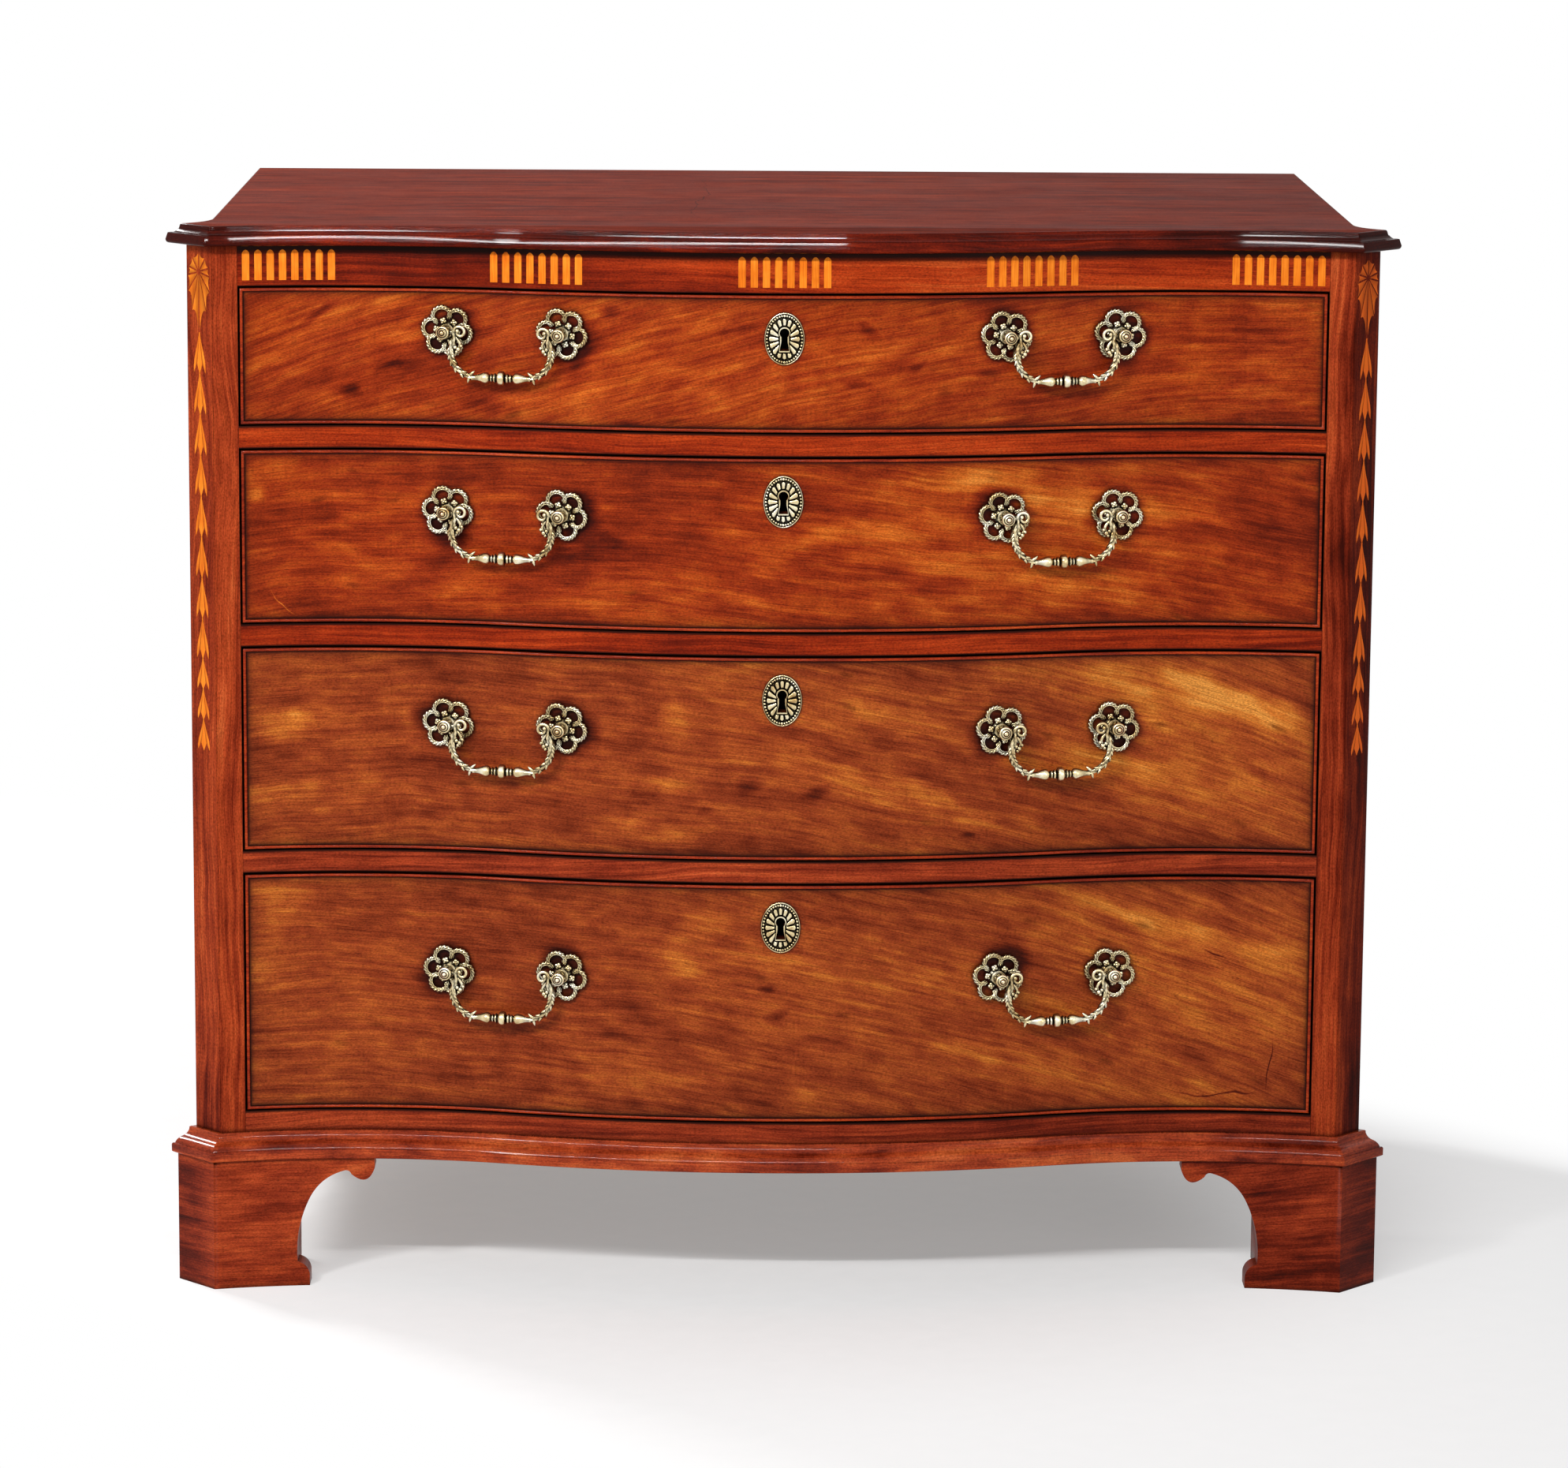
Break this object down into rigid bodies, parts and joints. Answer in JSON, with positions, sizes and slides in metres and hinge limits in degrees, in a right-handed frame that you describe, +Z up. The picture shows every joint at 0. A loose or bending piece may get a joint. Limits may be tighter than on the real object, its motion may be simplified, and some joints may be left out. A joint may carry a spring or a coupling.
{
  "type": "chest of drawers",
  "caption": "Serpentine-fronted mahogany chest of long drawers with cock-beaded fronts, inlaid frieze and canted corners, brass bail handles and bracket feet.",
  "frame": {"origin": "on the floor, midway across the width and the depth", "axes": "+Z up, -Y out of the drawer fronts, +X along the front to the viewer's right"},
  "size_m": [1.0744, 0.6195, 0.9385],
  "materials": {
    "mahogany": "figured mahogany, french polished",
    "secondary_wood": "oak and pine, planed and unpolished",
    "satinwood": "satinwood inlay, polished flush",
    "brass": "cast and lacquered brass with dark recesses",
    "steel": "filed steel"
  },
  "bodies": {
    "carcass": {"top": "mahogany", "left_side": "mahogany", "right_side": "mahogany", "back_boards": "secondary_wood", "carcass_bottom": "secondary_wood", "left_stile": "mahogany", "right_stile": "mahogany", "frieze_rail": "mahogany", "divider_1": "mahogany", "divider_2": "mahogany", "divider_3": "mahogany", "bottom_rail": "mahogany", "dustboards": "secondary_wood", "drawer_runners": "secondary_wood", "drawer_guides": "secondary_wood", "drawer_stops": "secondary_wood", "base_moulding": "mahogany", "front_left_foot": "mahogany", "front_right_foot": "mahogany", "rear_left_foot": "mahogany", "rear_right_foot": "mahogany", "foot_blocks": "secondary_wood", "flute_inlay": "satinwood", "husk_inlay": "satinwood"},
    "drawer_1": {"drawer_1_front": "mahogany", "drawer_1_cockbead": "mahogany", "drawer_1_box": "secondary_wood", "drawer_1_lock": "steel", "drawer_1_escutcheon": "brass", "drawer_1_rosettes": "brass"},
    "drawer_1_bail_left": {"drawer_1_bail_left": "brass"},
    "drawer_1_bail_right": {"drawer_1_bail_right": "brass"},
    "drawer_1_bolt": {"drawer_1_bolt": "steel"},
    "drawer_2": {"drawer_2_front": "mahogany", "drawer_2_cockbead": "mahogany", "drawer_2_box": "secondary_wood", "drawer_2_lock": "steel", "drawer_2_escutcheon": "brass", "drawer_2_rosettes": "brass"},
    "drawer_2_bail_left": {"drawer_2_bail_left": "brass"},
    "drawer_2_bail_right": {"drawer_2_bail_right": "brass"},
    "drawer_2_bolt": {"drawer_2_bolt": "steel"},
    "drawer_3": {"drawer_3_front": "mahogany", "drawer_3_cockbead": "mahogany", "drawer_3_box": "secondary_wood", "drawer_3_lock": "steel", "drawer_3_escutcheon": "brass", "drawer_3_rosettes": "brass"},
    "drawer_3_bail_left": {"drawer_3_bail_left": "brass"},
    "drawer_3_bail_right": {"drawer_3_bail_right": "brass"},
    "drawer_3_bolt": {"drawer_3_bolt": "steel"},
    "drawer_4": {"drawer_4_front": "mahogany", "drawer_4_cockbead": "mahogany", "drawer_4_box": "secondary_wood", "drawer_4_lock": "steel", "drawer_4_escutcheon": "brass", "drawer_4_rosettes": "brass"},
    "drawer_4_bail_left": {"drawer_4_bail_left": "brass"},
    "drawer_4_bail_right": {"drawer_4_bail_right": "brass"},
    "drawer_4_bolt": {"drawer_4_bolt": "steel"}
  },
  "joints": [
    {"name": "drawer_1_slide", "type": "slide", "parent": "carcass", "child": "drawer_1", "axis": [0, -1, 0], "range_m": [0, 0.36]},
    {"name": "drawer_1_bail_left_hinge", "type": "hinge", "parent": "drawer_1", "child": "drawer_1_bail_left", "pos_m": [-0.24285, -0.27715, 0.8488], "axis": [-0.979, 0.2037, 0], "range_deg": [0, 90]},
    {"name": "drawer_1_bail_right_hinge", "type": "hinge", "parent": "drawer_1", "child": "drawer_1_bail_right", "pos_m": [0.24285, -0.27715, 0.8488], "axis": [-0.979, -0.2037, 0], "range_deg": [0, 90]},
    {"name": "drawer_1_bolt_slide", "type": "slide", "parent": "drawer_1", "child": "drawer_1_bolt", "axis": [0, 0, 1], "range_m": [0, 0.007]},
    {"name": "drawer_2_slide", "type": "slide", "parent": "carcass", "child": "drawer_2", "axis": [0, -1, 0], "range_m": [0, 0.36]},
    {"name": "drawer_2_bail_left_hinge", "type": "hinge", "parent": "drawer_2", "child": "drawer_2_bail_left", "pos_m": [-0.24285, -0.27715, 0.6918], "axis": [-0.979, 0.2037, 0], "range_deg": [0, 90]},
    {"name": "drawer_2_bail_right_hinge", "type": "hinge", "parent": "drawer_2", "child": "drawer_2_bail_right", "pos_m": [0.24285, -0.27715, 0.6918], "axis": [-0.979, -0.2037, 0], "range_deg": [0, 90]},
    {"name": "drawer_2_bolt_slide", "type": "slide", "parent": "drawer_2", "child": "drawer_2_bolt", "axis": [0, 0, 1], "range_m": [0, 0.007]},
    {"name": "drawer_3_slide", "type": "slide", "parent": "carcass", "child": "drawer_3", "axis": [0, -1, 0], "range_m": [0, 0.36]},
    {"name": "drawer_3_bail_left_hinge", "type": "hinge", "parent": "drawer_3", "child": "drawer_3_bail_left", "pos_m": [-0.24285, -0.27715, 0.5047], "axis": [-0.979, 0.2037, 0], "range_deg": [0, 90]},
    {"name": "drawer_3_bail_right_hinge", "type": "hinge", "parent": "drawer_3", "child": "drawer_3_bail_right", "pos_m": [0.24285, -0.27715, 0.5047], "axis": [-0.979, -0.2037, 0], "range_deg": [0, 90]},
    {"name": "drawer_3_bolt_slide", "type": "slide", "parent": "drawer_3", "child": "drawer_3_bolt", "axis": [0, 0, 1], "range_m": [0, 0.007]},
    {"name": "drawer_4_slide", "type": "slide", "parent": "carcass", "child": "drawer_4", "axis": [0, -1, 0], "range_m": [0, 0.36]},
    {"name": "drawer_4_bail_left_hinge", "type": "hinge", "parent": "drawer_4", "child": "drawer_4_bail_left", "pos_m": [-0.24285, -0.27715, 0.2845], "axis": [-0.979, 0.2037, 0], "range_deg": [0, 90]},
    {"name": "drawer_4_bail_right_hinge", "type": "hinge", "parent": "drawer_4", "child": "drawer_4_bail_right", "pos_m": [0.24285, -0.27715, 0.2845], "axis": [-0.979, -0.2037, 0], "range_deg": [0, 90]},
    {"name": "drawer_4_bolt_slide", "type": "slide", "parent": "drawer_4", "child": "drawer_4_bolt", "axis": [0, 0, 1], "range_m": [0, 0.007]}
  ]
}
